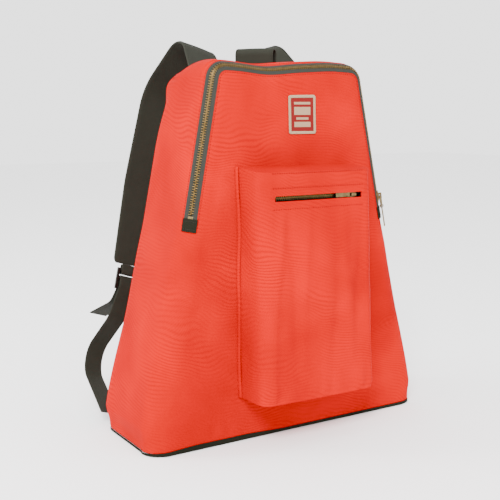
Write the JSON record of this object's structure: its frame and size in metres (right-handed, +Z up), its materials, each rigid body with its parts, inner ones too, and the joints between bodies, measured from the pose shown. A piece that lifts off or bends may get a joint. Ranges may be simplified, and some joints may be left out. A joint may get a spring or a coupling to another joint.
{
  "type": "daypack",
  "caption": "Trapezoid daypack with a domed zip opening, a boxy front pocket, a haul loop and two webbing shoulder straps.",
  "frame": {"origin": "centre of the base's underside", "axes": "+Z up, -Y to the front where the pocket is, +Y to the wearer's back, +X to the right seen from the front"},
  "size_m": [0.4052, 0.3075, 0.4833],
  "materials": {
    "body_cloth": "vivid orange-red coated nylon twill with a satin sheen",
    "base_cloth": "dark olive nylon",
    "webbing": "dark olive woven webbing",
    "zip_tape": "dark grey-olive woven zip tape",
    "zip_teeth": "satin brass teeth",
    "brass_hardware": "aged brass",
    "buckle": "black moulded plastic",
    "patch": "woven label, dark red with a cream border"
  },
  "bodies": {
    "bag": {"back_panel": "body_cloth", "base_panel": "base_cloth", "top_yoke": "body_cloth", "body_wrap": "body_cloth", "main_zip_tape_body": "zip_tape", "main_zip_chain_body": "zip_teeth", "main_zip_tape_lower_left": "zip_tape", "main_zip_chain_lower_left": "zip_teeth", "zip_end_tab_left": "zip_tape", "main_zip_stop_left": "zip_teeth", "main_zip_tape_lower_right": "zip_tape", "main_zip_chain_lower_right": "zip_teeth", "zip_end_tab_right": "zip_tape", "main_zip_stop_right": "zip_teeth", "pocket_bottom_gusset": "body_cloth", "pocket_top_gusset": "body_cloth", "pocket_upper_band": "body_cloth", "pocket_front_panel": "body_cloth", "pocket_binding_left": "body_cloth", "pocket_binding_right": "body_cloth", "pocket_zip_chain_upper": "zip_teeth", "pocket_zip_tape_upper": "zip_tape", "pocket_zip_chain_lower": "zip_teeth", "pocket_zip_tape_lower": "zip_tape", "pocket_zip_stop_left": "zip_teeth", "pocket_zip_stop_right": "zip_teeth", "left_shoulder_strap": "webbing", "left_buckle_keeper": "webbing", "right_shoulder_strap": "webbing", "right_buckle_keeper": "webbing", "haul_loop": "webbing"},
    "flap": {"front_flap": "body_cloth", "label_patch": "patch", "main_zip_tape_flap": "zip_tape", "main_zip_chain_flap": "zip_teeth"},
    "main_slider": {"main_zip_slider": "brass_hardware"},
    "main_ring": {"main_zip_ring": "brass_hardware"},
    "main_pull": {"main_zip_pull": "brass_hardware"},
    "pocket_slider": {"pocket_zip_slider": "brass_hardware"},
    "pocket_pull": {"pocket_zip_pull": "brass_hardware"},
    "left_buckle": {"left_ladder_buckle": "buckle", "left_adjuster_webbing": "webbing"},
    "right_buckle": {"right_ladder_buckle": "buckle", "right_adjuster_webbing": "webbing"}
  },
  "joints": [
    {"name": "flap_open", "type": "hinge", "parent": "bag", "child": "flap", "pos_m": [0, -0.05991, 0.33388], "axis": [1, 0, 0], "range_deg": [0, 75]},
    {"name": "main_slider_travel", "type": "slide", "parent": "bag", "child": "main_slider", "axis": [-0.1961, 0.0267, 0.9802], "range_m": [0, 0.135]},
    {"name": "main_ring_swing", "type": "hinge", "parent": "main_slider", "child": "main_ring", "pos_m": [0.13914, -0.05764, 0.28601], "axis": [-0.6934, -0.7106, -0.1194], "range_deg": [0, 100]},
    {"name": "main_pull_swing", "type": "hinge", "parent": "main_ring", "child": "main_pull", "pos_m": [0.14188, -0.05802, 0.27229], "axis": [-0.6934, -0.7106, -0.1194], "range_deg": [0, 80]},
    {"name": "pocket_slider_travel", "type": "slide", "parent": "bag", "child": "pocket_slider", "axis": [-1, 0, 0], "range_m": [0, 0.09]},
    {"name": "pocket_pull_swing", "type": "hinge", "parent": "pocket_slider", "child": "pocket_pull", "pos_m": [0.054, -0.10808, 0.29517], "axis": [0, 0.0272, 0.9996], "range_deg": [0, 90]},
    {"name": "left_buckle_swing", "type": "hinge", "parent": "bag", "child": "left_buckle", "pos_m": [-0.13605, 0.12418, 0.18202], "axis": [0.9511, 0, -0.309], "range_deg": [0, 30]},
    {"name": "right_buckle_swing", "type": "hinge", "parent": "bag", "child": "right_buckle", "pos_m": [0.13605, 0.12418, 0.18202], "axis": [0.9511, 0, 0.309], "range_deg": [0, 30]}
  ]
}
